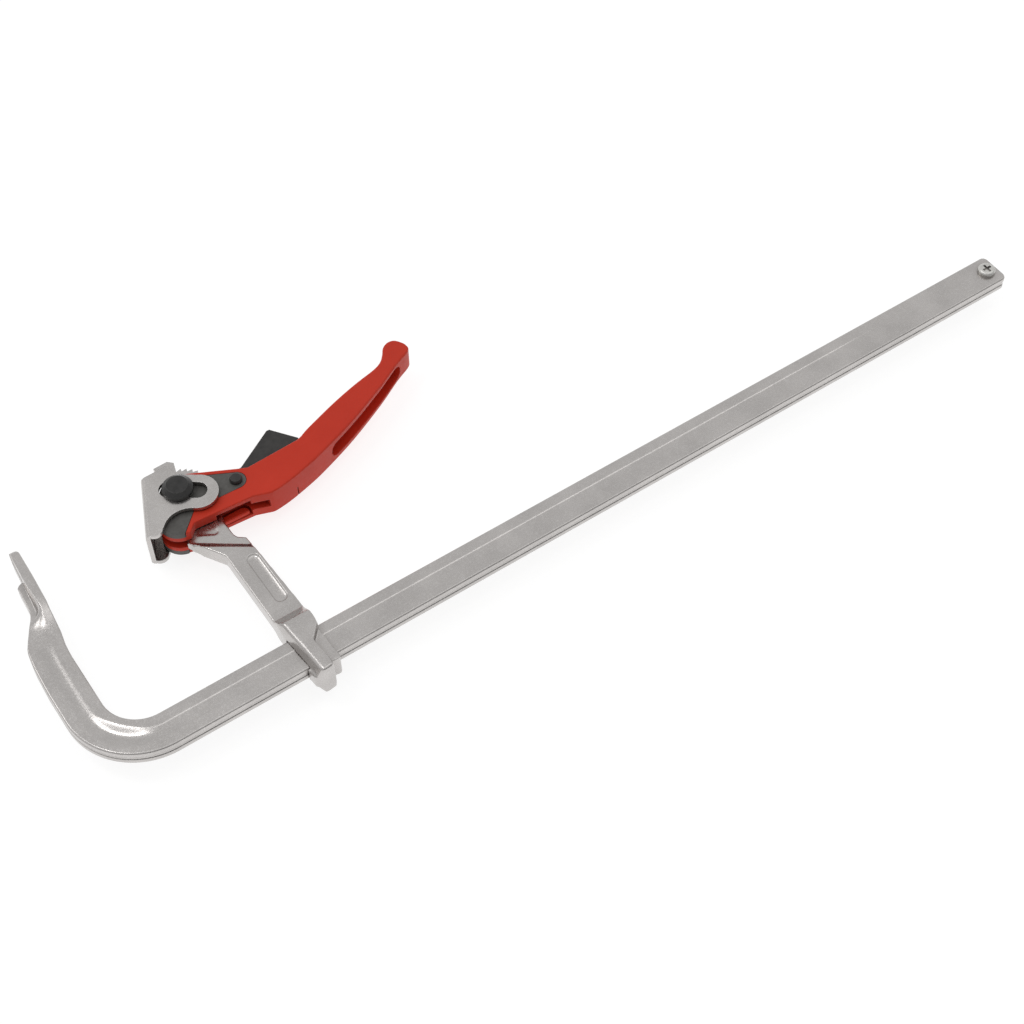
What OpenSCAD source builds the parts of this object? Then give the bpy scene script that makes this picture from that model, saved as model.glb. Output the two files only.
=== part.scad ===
// Ratchet welding clamp lying flat, millimetres, +Z up.
// Origin at the centre of the anvil face, +X along the rail, +Y from the rail towards the jaws.

/* [Rail] */
// Rail's inner edge to the jaw axis
throat = 120; // [112:1:130]
// Rail width
rail_w = 23.5; // [22:0.5:25]
// Rail thickness
rail_t = 10.4; // [9.6:0.2:11.2]
// Anvil face to the free end of the rail
rail_end = 658; // [560:1:760]
// Inner radius of the bend into the fixed arm
bend_r = 24; // [18:1:30]
// Width of the rolled groove in each wide face
groove_w = 9; // [6:0.5:11]
// Depth of the rolled groove
groove_depth = 0.8; // [0.4:0.1:1.2]
// Length of plain bar left at the free end
plain_end = 76; // [50:1:110]
// Small chamfer along the rail's edges
edge_chamfer = 0.9; // [0.4:0.1:1.4]

/* [Fixed jaw] */
// Top of the anvil pad above the jaw axis
pad_top = 31; // [26:1:36]
// Width of the anvil pad
pad_w = 22; // [18:1:26]
// Thickness of the anvil pad
pad_t = 6.6; // [5:0.2:8]
// Lean of the anvil face towards the sliding arm
anvil_lean = 3; // [0:0.5:4]

/* [Stop screw] */
// Thread radius
screw_r = 3; // [2.5:0.5:4]
// Pan head radius
screw_head_r = 6; // [5:0.5:7]
// Pan head height
screw_head_h = 3.4; // [2.8:0.2:4]
// Screw axis to the rail's free end
screw_inset = 8; // [8:0.5:14]

/* [Sliding arm] */
// Arm thickness
arm_t = 11; // [10:0.2:12.4]
// Thickness of the bracket round the rail
bracket_t = 25; // [22:0.5:28]
// Play between rail and bracket on each side
rail_play = 0.4; // [0.3:0.1:0.8]
// Thickness of the toothed tongue
tongue_t = 5.9; // [5:0.1:6.8]
// Depth of the oblong recess in the arm
recess_depth = 1.2; // [0.6:0.1:2]
// Half width of the oblong recess in the arm
recess_r = 4.3; // [3:0.1:5]

/* [Pivot] */
// Main pivot along the rail
pin_x = 102; // [96:1:130]
// Main pivot above the jaw axis
pin_y = 8.7; // [6:0.1:11]
// Shank radius of the pivot pin
pin_r = 5.8; // [5:0.1:6.4]
// Rim of the pin's head beyond the shank
pin_head_rim = 3.9; // [3:0.1:4.6]
// Height of the pivot pin's head
pin_head_h = 4.9; // [4:0.1:6]

/* [Lever] */
// Play between the tongue and each lever wall
wall_play = 0.25; // [0.2:0.05:0.4]
// Thickness of each lever wall under its cam plate
wall_t = 3.4; // [2.8:0.1:4]
// Thickness of each cam plate
plate_t = 3.8; // [3:0.1:4.4]
// How much thinner the lever gets towards its tip
lever_taper = 3.8; // [1:0.1:5]
// Radius of the cam lobe
lobe_r = 12.4; // [11:0.1:13]
// Depth of the hollow under the grip
grip_hollow = 10; // [6:0.5:12]
// Lip on each side of the hollow, at the lever's tip
grip_lip = 1.8; // [1.2:0.1:3]

/* [Ratchet] */
// Radius over the tooth tips
tip_r = 25.2; // [24:0.1:26.4]
// Tooth depth
tooth_depth = 2.2; // [1.8:0.1:2.6]
// Angle from tooth to tooth
tooth_pitch = 8.6; // [8.2:0.1:9]
// Play between the pawl and each lever wall
pawl_play = 0.4; // [0.3:0.05:0.8]
// Radius of the pawl rivet
rivet_r = 3.2; // [2.6:0.1:3.6]
// Rim of the rivet heads beyond the shank
rivet_rim = 0.8; // [0.6:0.1:1.6]

/* [Pressure shoe] */
// Sheet thickness of the shoe
shoe_t = 2.8; // [2.2:0.1:3.4]
// Space between each ear and its cam plate
ear_gap = 1.2; // [0.8:0.1:2]
// Lean of the shoe's face at rest
shoe_tilt = 23.8; // [20:0.2:26]
// Space between the cam lobe and the shoe's face at rest
lobe_gap = 5.4; // [5.2:0.1:7]
// Play of the pin in the shoe's slot on each side
slot_play = 0.3; // [0.2:0.05:0.5]
// Slope of the pin slot below the rail direction
slot_slope = 36; // [32:1:40]

/* [Hidden] */
$fn = 96;

// Clearance of turning fits, plain clearance, overshoot of cuts, overlap of joined solids
running = 0.05;
play = 0.3;
cut = 1;
tuck = 0.05;
far = 400;

// Rail and bend
rail_mid = -throat - rail_w / 2;
fixed_in = -5.2;
fixed_out = fixed_in - rail_w;
bend_c = [fixed_in + bend_r, -throat + bend_r];
bend_mid_r = bend_r + rail_w / 2;
taper_y = -47;
groove_r = (groove_w * groove_w / 4 + groove_depth * groove_depth) / (2 * groove_depth);
groove_z = rail_t / 2 + groove_r - groove_depth;
groove_end = rail_end - plain_end;
edge_groove_r = 8;
edge_groove_depth = 0.4;
end_round = 3;
screw_x = rail_end - screw_inset;
screw_slot_l = screw_head_r * 1.1;
screw_slot_w = screw_head_r * 0.28;
screw_rim_h = screw_head_h * 0.4;

// Shank of the fixed jaw, from its shoulder up the back rib and down the face side
jaw_outline = [
  [fixed_out, taper_y - cut],
  [fixed_out + 2.2, taper_y + 5],
  [-14, -18.6],
  [-12.2, -11.5],
  [-11.4, 4],
  [-9.6, 7.6],
  [-7.6, 8.4],
  [-pad_t / 2, 8.4],
  [-pad_t / 2, -22],
  [-1.6, -22],
  [fixed_in, taper_y - cut]
];
pad_low = -34;
// Side view of the anvil pad
pad_side = [
  [0, pad_top],
  [0.4 - pad_t, pad_top],
  [-pad_t, 6],
  [-pad_t - 1.4, pad_low],
  [-1.6, pad_low],
  [0, -19]
];
// Half of the anvil pad seen on its face, height and half width from the tip down
pad_half = [
  [pad_top, pad_w * 0.2],
  [pad_top - 2.5, pad_w * 0.27],
  [5, pad_w / 2],
  [-13, pad_w / 2],
  [-22, pad_w * 0.4],
  [pad_low, rail_t / 2 - cut]
];

// Sliding arm, measured from the pivot along x and, on the tongue and head, along y
pin = [pin_x, pin_y];
arm_left = pin_x + 1.7;
arm_right = pin_x + 22.5;
ramp_l = 4.2;
ramp_angle = 35;
ramp_sink = 0.2;
ramp_z = (arm_t * ramp_sink - tongue_t * (1 + ramp_sink)) / 2;
ramp_top = [-12.2, -31.4];
arm_head = [[-12.6, -31.2], [1.8, -54.6]];
arm_neck = [[20.2, -58], [20.6, -50], [0, -30]];
recess_x = pin_x + 14.7;
recess_y1 = pin_y - 66.4;
recess_y0 = 30 - throat;
bracket_top = 16 - throat;
bracket_full = 7.6 - throat;
bracket_start = bracket_top + ramp_sink * (bracket_top - bracket_full);
bracket_low = -throat - rail_w - 10.4;
flange_in = 4;
flank_x = 1.2;
flank_angle = 24;
flank_turn = 4.6;
bracket_outline = [
  [pin_x + 1.6, bracket_start],
  [pin_x + 1.4, -throat],
  [pin_x + 1.8, -throat - rail_w],
  [pin_x + 2.4, bracket_low + 3],
  [pin_x + 5, bracket_low],
  [pin_x + 14.6, bracket_low + 0.6],
  [pin_x + 15.6, bracket_low + 3],
  [pin_x + 13.6, -throat - 12],
  [pin_x + 21.6, -throat - 3],
  [pin_x + 22.4, 3 - throat],
  [arm_right, bracket_start]
];
flange_outline = [
  [pin_x + 10, -throat],
  [pin_x + 10, bracket_low + 0.6],
  [pin_x + 17.4, bracket_low + 1.6],
  [pin_x + 21.8, bracket_low + 6],
  [pin_x + 20.8, -throat - 5.6],
  [pin_x + 21.6, -throat]
];

// Ratchet tongue about the pivot
root_r = tip_r - tooth_depth;
tooth_count = 12;
first_tip = 61.8;
steep = 2;
lock_tooth = 5;
lock_angle = first_tip - lock_tooth * tooth_pitch - steep;
tongue_hub_r = pin_r + 6.2;
tongue_back = [[-10.8, -36], [-11.4, -3], [0, 0], [0.5, 14], [-2.5, 26], [-2.5, 31.7], [7.4, 32], [10.6, 28.8]];
tongue_front = [[14.7, -28.7], [14.7, -40.8], [15.7, -43.8], [20.2, -47.3], [20.6, -54], [4, -48]];
dent_depth = 0.5;
dent_outline = [[-4.4, -29.4], [-3.4, -24], [8.8, -24], [8.2, -33.6], [7.2, -35.2], [5.2, -35.6]];

// Lever about the pivot
lever_gap = tongue_t + 2 * wall_play;
lever_t = lever_gap + 2 * (wall_t + plate_t);
lever_tip_t = lever_t - lever_taper;
grip_hollow_w = lever_tip_t - 2 * grip_lip;
rivet = [34.3, -11.1];
hub_r = pin_r + 5.2;
plate_hub_r = pin_r + 6.2;
plate_end_r = rivet_r + 3;
lobe_c = [-9.6, -17.2];
lobe_cut = [[2, -16.2], [-14, -31.6]];
plate_heel = [-1, -plate_end_r];
plate_out = lever_t / 2;
plate_in = plate_out - plate_t;
wall_in = lever_gap / 2;
lever_head = [[0, 0], [6, 13.8], [40.4, -3.7], [45.5, -6], [58, -6.2]];
lever_belly = [[48, -31.7], [43.5, -30.2], [36.5, -27.7], [13.5, -26.2], [-3.1, -25.1], [-8.2, -30.2], [-10.4, -29.4]];
grip_top_points = [
  [58, -6.2], [81.4, -4.5], [92.7, -0.6], [117.4, 8.4], [137.2, 14.3], [154, 18.2], [161.9, 22], [166.2, 27.4], [170, 31.6]
];
grip_under_points = [
  [186, 25], [179.4, 19.4], [168, 14], [148, 2.9], [118, -11.4], [90, -22.2], [75, -26.8], [60, -30.4], [48, -31.7], [43, -30]
];
curve_steps = 5;
tip_c = [173.4, 24.1];
tip_round = 8.3;
taper_from = 96;
taper_to = 184;
// Slot between the walls and the wider opening under the head
slot_under = [45.5, 46.5];
slot_floor = [-22, -20, -12.4];
slot_grip = [60, 92];
mouth_w = lever_t - 2 * wall_t;
mouth_outline = [[11, -60], [11.5, -23], [14, -20], [33, -20], [35, -23], [35, -60]];
hollow_low = -30;

// Pins, ring and spring
ear_in = plate_out + ear_gap;
ear_out = ear_in + shoe_t;
head_z = ear_out + play;
pin_head_r = pin_r + pin_head_rim;
pin_head_side = pin_head_h * 0.45;
pin_head_flat = pin_head_r * 0.7;
ring_t = 3;
ring_r = pin_r + 3.2;
pin_tail = 1.2;
rivet_head_r = rivet_r + rivet_rim;
rivet_head_h = 3;
rivet_head_side = 1.8;
spring_wire = 0.9;
spring_r = rivet_r + spring_wire + 0.8;

// Pawl about the pivot
pawl_t = lever_gap - 2 * pawl_play;
pawl_hub_r = rivet_r + 2.4;
nose_lift = 0.14;
nose_arm = norm(polar(root_r, lock_angle) - rivet);
engage_angle = (tooth_depth + nose_lift) / nose_arm * 180 / PI;
pawl_root = [-3.9, -2.8];
pawl_outline = [[36, 1], [44, 1.6], [72, 18.3], [74, 18.2], [86, 2], [84, -3.6], [60, -9.6], [40, -15]];

// Shoe in its own frame, x along the inward normal of the face, y along the face
ear_c = [12, -3.6];
ear_r = 12.9;
arch_c = [4.6, -31.5];
arch_r = norm(arch_c - ear_c) - ear_r;
slot_front = 12.2;
slot_back = 5.9;
slot_r = pin_r + slot_play;
lobe_front = lobe_r - lobe_c * [cos(shoe_tilt), -sin(shoe_tilt)];
shoe_reach = lobe_front + lobe_gap + shoe_t;
toe_y = -27.7;
toe_r = (shoe_reach + arch_c.x - arch_r) / 2;
face_low = -32.8;
face_high = 12;
shoe_peak = [[-5.4, 19.9], [-1.2, 12.7]];
fold_r = shoe_t * 1.05;

steel = [0.66, 0.65, 0.64];
red = [0.70, 0.17, 0.13];
slate = [0.30, 0.30, 0.28];
black = [0.13, 0.13, 0.13];
zinc = [0.74, 0.73, 0.70];

// Points along an arc, centre c, radius r, from angle a to angle b
function arc(c, r, a, b, n) = [for (i = [0:n]) c + polar(r, a + (b - a) * i / n)];
// Point at radius r and angle a
function polar(r, a) = r * [cos(a), sin(a)];
// Point p turned about c by angle a
function turned(p, c, a) = c + [
  (p - c).x * cos(a) - (p - c).y * sin(a),
  (p - c).x * sin(a) + (p - c).y * cos(a)
];
// One point on a smooth curve between b and c
function blend(a, b, c, d, t) =
  0.5 * (2 * b + (c - a) * t + (2 * a - 5 * b + 4 * c - d) * t * t + (3 * b - a - 3 * c + d) * t * t * t);
// Smooth curve through the inner points of a list
function smooth(p, n) = [
  for (i = [1:len(p) - 3]) for (k = [0:n - 1]) blend(p[i - 1], p[i], p[i + 1], p[i + 2], k / n)
];
// Outer tangent point on a circle of radius r for two circles d apart in direction a
function touch(c, r, r1, r2, d, a, side) = c + polar(r, a + side * acos((r1 - r2) / d));
// List of points with every y turned round, last first
function other_half(p) = [for (i = [len(p) - 1:-1:0]) [p[i].x, -p[i].y]];
// Points moved by v
function moved(p, v) = [for (q = p) q + v];

// Rail cross-section, width along x and thickness along y
module rail_section() {
  w = rail_w / 2;
  t = rail_t / 2;
  c = edge_chamfer;
  half = [[w, t - c], [w - c, t], [c - w, t], [-w, t - c]];
  difference() {
    polygon(concat(half, other_half(half)));
    for (s = [-1, 1]) translate([s * (w + edge_groove_r - edge_groove_depth), 0]) circle(edge_groove_r);
  }
}

// Rolled groove along a straight length starting at the origin and running along x
module rolled_groove(len) {
  for (s = [-1, 1]) translate([0, 0, s * groove_z]) {
    rotate([0, 90, 0]) cylinder(r = groove_r, h = len);
    translate([len, 0, 0]) sphere(groove_r);
  }
}

module anvil() {
  linear_extrude(rail_t, center = true) polygon(jaw_outline);
  rotate([0, 0, -anvil_lean]) intersection() {
    linear_extrude(far, center = true) polygon(pad_side);
    rotate([90, 0, 90]) linear_extrude(far, center = true) polygon(concat(pad_half, other_half(pad_half)));
  }
}

module rail() {
  color(steel) difference() {
    union() {
      translate([bend_c.x, rail_mid, 0]) rotate([90, 0, 90])
        linear_extrude(rail_end - bend_c.x) rail_section();
      translate([bend_c.x, bend_c.y, 0]) rotate([0, 0, 180])
        rotate_extrude(angle = 90) translate([bend_mid_r, 0]) rail_section();
      translate([fixed_in - rail_w / 2, bend_c.y, 0]) rotate([-90, 0, 0])
        linear_extrude(taper_y - bend_c.y) rail_section();
      anvil();
    }
    translate([bend_c.x, rail_mid, 0]) rolled_groove(groove_end - bend_c.x);
    translate([fixed_in - rail_w / 2, bend_c.y, 0]) rotate([0, 0, 90]) rolled_groove(taper_y - bend_c.y);
    for (s = [-1, 1]) translate([bend_c.x, bend_c.y, s * groove_z]) rotate([0, 0, 180])
      rotate_extrude(angle = 90) translate([bend_mid_r, 0]) circle(groove_r);
    for (s = [-1, 1]) translate([rail_end - end_round, rail_mid + s * (rail_w / 2 - end_round), 0])
      difference() {
        translate([0, s > 0 ? 0 : -end_round - cut, -rail_t]) cube([end_round + cut, end_round + cut, 2 * rail_t]);
        cylinder(r = end_round, h = 4 * rail_t, center = true);
      }
    translate([screw_x, rail_mid, 0]) cylinder(r = screw_r, h = 2 * rail_t, center = true);
  }
}

module stop_screw() {
  dome_r = screw_head_h - screw_rim_h;
  color(zinc) translate([screw_x, rail_mid, rail_t / 2]) difference() {
    union() {
      translate([0, 0, -rail_t]) cylinder(r = screw_r, h = rail_t + cut);
      rotate_extrude() polygon(concat(
        [[0, 0], [screw_head_r, 0]],
        arc([screw_head_r - dome_r, screw_rim_h], dome_r, 0, 90, 4),
        [[0, screw_head_h]]
      ));
    }
    for (a = [0, 90]) rotate([0, 0, a])
      translate([-screw_slot_l / 2, -screw_slot_w / 2, screw_rim_h])
        cube([screw_slot_l, screw_slot_w, screw_head_h]);
  }
}

// Toothed edge of the tongue, from the first tip downwards
tooth_edge = [
  for (i = [0:tooth_count - 1]) for (k = [0, 1])
    k == 0 ? polar(tip_r, first_tip - i * tooth_pitch) : polar(root_r, first_tip - i * tooth_pitch - steep)
];

module tongue() {
  difference() {
    union() {
      cylinder(r = tongue_hub_r, h = tongue_t, center = true);
      linear_extrude(tongue_t, center = true) polygon(concat(
        tongue_back, [polar(root_r, first_tip + tooth_pitch - steep)], tooth_edge, tongue_front
      ));
    }
    cylinder(r = pin_r + running, h = far, center = true);
    for (s = [0, 1]) mirror([0, 0, s]) translate([0, 0, tongue_t / 2 - dent_depth])
      linear_extrude(far) polygon(dent_outline);
  }
}

module arm_plate() {
  intersection() {
    linear_extrude(arm_t, center = true) polygon(concat(
      moved(arm_head, pin),
      [[arm_left, bracket_top - cut], [arm_right, bracket_top - cut]],
      moved(arm_neck, pin)
    ));
    translate(pin + ramp_top) rotate([0, 0, -ramp_angle]) rotate([90, 0, 90]) translate([0, 0, -far / 2])
      linear_extrude(far) polygon([
        [-far, -arm_t / 2],
        [-ramp_l, -arm_t / 2],
        [ramp_l * ramp_sink, ramp_z],
        [ramp_l * ramp_sink, -ramp_z],
        [-ramp_l, arm_t / 2],
        [-far, arm_t / 2]
      ]);
  }
}

module bracket() {
  t = bracket_t / 2;
  start_z = arm_t / 2 - ramp_sink * (t - arm_t / 2);
  difference() {
    union() {
      intersection() {
        linear_extrude(bracket_t, center = true) polygon(bracket_outline);
        rotate([90, 0, 90]) linear_extrude(far) polygon([
          [bracket_start, -start_z],
          [bracket_start, start_z],
          [bracket_full, t],
          [bracket_low, t],
          [bracket_low, -t],
          [bracket_full, -t]
        ]);
      }
      linear_extrude(bracket_t - 2 * flange_in, center = true) polygon(flange_outline);
    }
    translate([0, rail_mid, 0])
      cube([far, rail_w + 2 * rail_play, rail_t + 2 * rail_play], center = true);
    for (s = [-1, 1]) translate([pin_x + flank_x, -throat, s * rail_t / 2]) rotate([0, 0, flank_turn])
      rotate([0, s * flank_angle, 0]) translate([-far, -far / 2, s > 0 ? 0 : -far]) cube(far);
  }
}

module arm_recess() {
  for (s = [0, 1]) mirror([0, 0, s]) translate([recess_x, 0, arm_t / 2 - recess_depth]) {
    for (y = [recess_y0, recess_y1]) translate([0, y, 0]) cylinder(r = recess_r, h = far);
    translate([-recess_r, recess_y0, 0]) cube([2 * recess_r, recess_y1 - recess_y0, far]);
  }
}

module sliding_arm() {
  color(steel) difference() {
    union() {
      translate(pin) tongue();
      arm_plate();
      bracket();
    }
    arm_recess();
  }
}

// Cam from z = 0 up: hub, lobe and the flank between them, grown by g all round
module cam_block(hub, g, h) {
  d = norm(lobe_c);
  a = atan2(lobe_c.y, lobe_c.x);
  cylinder(r = hub + g, h = h);
  translate(lobe_c) cylinder(r = lobe_r + g, h = h);
  linear_extrude(h) polygon([
    [0, 0],
    touch([0, 0], hub + g - tuck, hub, lobe_r, d, a, -1),
    touch(lobe_c, lobe_r + g - tuck, hub, lobe_r, d, a, -1),
    lobe_c
  ]);
}

// Cam plate from z = 0 up, grown by g all round for its pocket
module plate_block(g, h) {
  d = norm(rivet);
  a = atan2(rivet.y, rivet.x);
  edge = moved(lobe_cut, [g, -g] / sqrt(2));
  difference() {
    cam_block(plate_hub_r, g, h);
    translate([0, 0, -cut]) linear_extrude(h + 2 * cut) polygon([
      edge[0],
      edge[1],
      edge[1] - [0, lobe_r],
      edge[0] + [lobe_r, -2 * lobe_r],
      edge[0] + [lobe_r, 0]
    ]);
  }
  translate(rivet) cylinder(r = plate_end_r + g, h = h);
  linear_extrude(h) polygon([
    touch([0, 0], plate_hub_r + g - tuck, plate_hub_r, plate_end_r, d, a, 1),
    touch(rivet, plate_end_r + g - tuck, plate_hub_r, plate_end_r, d, a, 1),
    rivet,
    rivet + plate_heel + [0, tuck - g],
    lobe_cut[0] - [0, g],
    lobe_c,
    [0, 0]
  ]);
}

// Lever solid before its hollows, thinner towards the tip
module lever_block() {
  intersection() {
    union() {
      translate([0, 0, -plate_out]) cam_block(hub_r, 0, lever_t);
      translate(tip_c) cylinder(r = tip_round, h = lever_t, center = true);
      linear_extrude(lever_t, center = true) polygon(concat(
        lever_head,
        smooth(grip_top_points, curve_steps),
        [tip_c],
        smooth(grip_under_points, curve_steps),
        lever_belly,
        [lobe_c]
      ));
    }
    rotate([90, 0, 0]) linear_extrude(far, center = true) polygon([
      [-taper_from, -plate_out],
      [taper_from, -plate_out],
      [taper_to, -lever_tip_t / 2],
      [taper_to, lever_tip_t / 2],
      [taper_from, plate_out],
      [-taper_from, plate_out]
    ]);
  }
}

// Hollow under the grip, following its underside
module grip_hollow_shape() {
  d = grip_hollow;
  polygon([
    [101, hollow_low], [104, -16.6], [112, -14.2 + d * 0.6], [130, -5.8 + d], [148, 2.8 + d], [160, 9.6 + d * 0.8],
    [169, 14.8 + d * 0.3], [174, 10], [150, hollow_low]
  ]);
}

module lever() {
  side = 60;
  color(red) translate(pin) difference() {
    lever_block();
    linear_extrude(lever_gap, center = true) polygon([
      [-side, -side],
      [slot_under[0], -side],
      [slot_under[1], slot_floor[0]],
      [slot_grip[0], slot_floor[1]],
      [slot_grip[1], slot_floor[2]],
      [slot_grip[1], side],
      [-side, side]
    ]);
    for (s = [0, 1]) mirror([0, 0, s]) translate([0, 0, plate_in]) plate_block(play, far);
    linear_extrude(mouth_w, center = true) polygon(mouth_outline);
    linear_extrude(grip_hollow_w, center = true) grip_hollow_shape();
    cylinder(r = pin_r + running, h = far, center = true);
    translate(rivet) cylinder(r = rivet_r, h = far, center = true);
    translate(concat(rivet, wall_in - cut)) cylinder(r = spring_r + play, h = plate_in - wall_in + 2 * cut);
  }
}

module cam_plate() {
  color(slate) difference() {
    translate([0, 0, plate_in]) plate_block(0, plate_t);
    cylinder(r = pin_r + running, h = far, center = true);
    translate(rivet) cylinder(r = rivet_r, h = far, center = true);
  }
}

module cam_plate_upper() {
  translate(pin) cam_plate();
}

module cam_plate_lower() {
  translate(pin) mirror([0, 0, 1]) cam_plate();
}

// Nose of the pawl in the tooth gap, then lifted clear by the engaging turn
nose = [
  for (p = [
    polar(tip_r + 4, lock_angle - 8),
    polar(root_r + 2.1, lock_angle - 5),
    polar(root_r + 0.45, lock_angle - 1),
    polar(tip_r + 1.4, lock_angle + steep - 1.6)
  ]) turned(p, rivet, -engage_angle)
];

module pawl() {
  color(black) translate(pin) difference() {
    union() {
      translate(rivet) cylinder(r = pawl_hub_r, h = pawl_t, center = true);
      linear_extrude(pawl_t, center = true) polygon(concat([rivet + pawl_root], nose, pawl_outline));
    }
    translate(rivet) cylinder(r = rivet_r + running, h = far, center = true);
  }
}

module pawl_rivet() {
  color(black) translate(pin) translate(rivet) {
    cylinder(r = rivet_r, h = lever_t, center = true);
    for (s = [0, 1]) mirror([0, 0, s]) translate([0, 0, plate_out]) {
      cylinder(r = rivet_head_r, h = rivet_head_side);
      translate([0, 0, rivet_head_side])
        cylinder(r1 = rivet_head_r, r2 = rivet_r, h = rivet_head_h - rivet_head_side);
    }
  }
}

module pawl_spring() {
  color(zinc) translate(pin) translate(concat(rivet, wall_in + play)) difference() {
    cylinder(r = spring_r, h = plate_in - wall_in - play);
    translate([0, 0, -cut]) cylinder(r = spring_r - spring_wire, h = far);
  }
}

module pivot_pin() {
  color(black) translate(pin) {
    translate([0, 0, -head_z - ring_t - pin_tail])
      cylinder(r = pin_r, h = 2 * head_z + ring_t + pin_tail + pin_head_side);
    translate([0, 0, head_z]) {
      cylinder(r = pin_head_r, h = pin_head_side);
      translate([0, 0, pin_head_side])
        cylinder(r1 = pin_head_r, r2 = pin_head_flat, h = pin_head_h - pin_head_side);
    }
  }
}

module pivot_ring() {
  color(black) translate(pin) translate([0, 0, -head_z - ring_t]) difference() {
    cylinder(r = ring_r, h = ring_t);
    translate([0, 0, -cut]) cylinder(r = pin_r, h = far);
  }
}

// One ear of the shoe with its pin slot, from z = 0 up
module ear() {
  tilt = shoe_tilt - slot_slope;
  difference() {
    union() {
      translate(ear_c) cylinder(r = ear_r, h = shoe_t);
      translate([toe_r - shoe_reach, toe_y]) cylinder(r = toe_r, h = shoe_t);
      linear_extrude(shoe_t) polygon(concat(
        [[-shoe_reach, toe_y], [-shoe_reach, face_high]],
        shoe_peak,
        [ear_c + polar(ear_r - tuck, 86), ear_c, ear_c + polar(ear_r - tuck, -105)],
        [[toe_r * 2 - shoe_reach, toe_y]]
      ));
    }
    translate(concat(arch_c, -cut)) cylinder(r = arch_r, h = shoe_t + 2 * cut);
    translate([0, 0, -cut]) rotate([0, 0, tilt]) {
      for (x = [-slot_back, slot_front]) translate([x, 0, 0]) cylinder(r = slot_r, h = shoe_t + 2 * cut);
      translate([-slot_back, -slot_r, 0]) cube([slot_back + slot_front, 2 * slot_r, shoe_t + 2 * cut]);
    }
  }
}

module pressure_shoe() {
  color(steel) translate(pin) rotate([0, 0, -shoe_tilt]) difference() {
    union() {
      for (z = [-ear_out, ear_in]) translate([0, 0, z]) ear();
      translate([-shoe_reach, face_low, -ear_out]) cube([shoe_t, face_high - face_low, 2 * ear_out]);
    }
    for (s = [-1, 1]) translate([fold_r - shoe_reach, 0, s * (ear_out - fold_r)]) difference() {
      translate([-fold_r - cut, -far / 2, s > 0 ? 0 : -fold_r - cut]) cube([fold_r + cut, far, fold_r + cut]);
      rotate([90, 0, 0]) cylinder(r = fold_r, h = 2 * far, center = true);
    }
  }
}

rail();
stop_screw();
sliding_arm();
lever();
cam_plate_upper();
cam_plate_lower();
pawl();
pawl_rivet();
pawl_spring();
pivot_pin();
pivot_ring();
pressure_shoe();
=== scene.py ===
import math

import bmesh
import bpy
from mathutils import Matrix, Vector


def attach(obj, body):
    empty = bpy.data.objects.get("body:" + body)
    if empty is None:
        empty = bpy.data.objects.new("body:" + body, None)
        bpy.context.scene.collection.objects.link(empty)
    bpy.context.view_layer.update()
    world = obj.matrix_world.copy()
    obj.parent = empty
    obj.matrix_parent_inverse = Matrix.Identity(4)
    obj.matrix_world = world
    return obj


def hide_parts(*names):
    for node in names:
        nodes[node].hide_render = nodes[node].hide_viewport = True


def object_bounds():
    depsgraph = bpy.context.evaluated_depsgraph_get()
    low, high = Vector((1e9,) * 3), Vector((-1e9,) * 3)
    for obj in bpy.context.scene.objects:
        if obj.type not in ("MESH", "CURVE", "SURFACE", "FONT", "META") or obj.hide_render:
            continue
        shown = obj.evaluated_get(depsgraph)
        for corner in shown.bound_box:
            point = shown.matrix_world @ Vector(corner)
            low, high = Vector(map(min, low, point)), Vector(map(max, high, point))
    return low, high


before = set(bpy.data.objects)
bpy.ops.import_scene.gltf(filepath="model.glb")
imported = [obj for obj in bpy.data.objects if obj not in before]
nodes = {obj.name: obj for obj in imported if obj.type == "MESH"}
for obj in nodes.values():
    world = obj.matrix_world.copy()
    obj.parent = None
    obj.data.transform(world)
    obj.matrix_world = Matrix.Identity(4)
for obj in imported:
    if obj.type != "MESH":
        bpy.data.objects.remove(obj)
bounds_before = [list(corner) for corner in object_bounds()]

# Shapes, lens and sensor are in millimetres, angles in degrees; materials and the stage are in metres

MM = 0.001
PIN = Vector((102.0, 8.7))
SHARP_ANGLE = 35
RAIL_SHARP_ANGLE = 50
FORGED_SHARP_ANGLE = 70
FLAT_FACE_WEIGHT = 100


# Shared geometry helpers

def polar(r, a):
    return Vector((r * math.cos(math.radians(a)), r * math.sin(math.radians(a))))


def arc(c, r, a, b, n):
    return [Vector(c) + polar(r, a + (b - a) * i / n) for i in range(n + 1)]


def smooth_curve(points, n):
    """Smooth curve through the inner points of a list."""
    out = []
    p = [Vector(q) for q in points]
    for i in range(1, len(p) - 2):
        a, b, c, d = p[i - 1], p[i], p[i + 1], p[i + 2]
        for k in range(n):
            t = k / n
            out.append(0.5 * (2 * b + (c - a) * t + (2 * a - 5 * b + 4 * c - d) * t * t
                              + (3 * b - a - 3 * c + d) * t ** 3))
    return out


def lerp(a, b, t):
    return a + (b - a) * t


def ramp(x, points):
    """Straight-line interpolation through a list of (x, value) pairs."""
    if x <= points[0][0]:
        return points[0][1]
    for (x0, v0), (x1, v1) in zip(points, points[1:]):
        if x <= x1:
            return lerp(v0, v1, (x - x0) / (x1 - x0))
    return points[-1][1]


def ease(t):
    t = min(max(t, 0.0), 1.0)
    return t * t * (3 - 2 * t)


def fade(x, start, end):
    """0 up to start, 1 from end on, with a soft passage between them."""
    return ease((x - start) / (end - start))


def new_object(name, data):
    obj = bpy.data.objects.new(name, data)
    bpy.context.scene.collection.objects.link(obj)
    return obj


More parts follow.
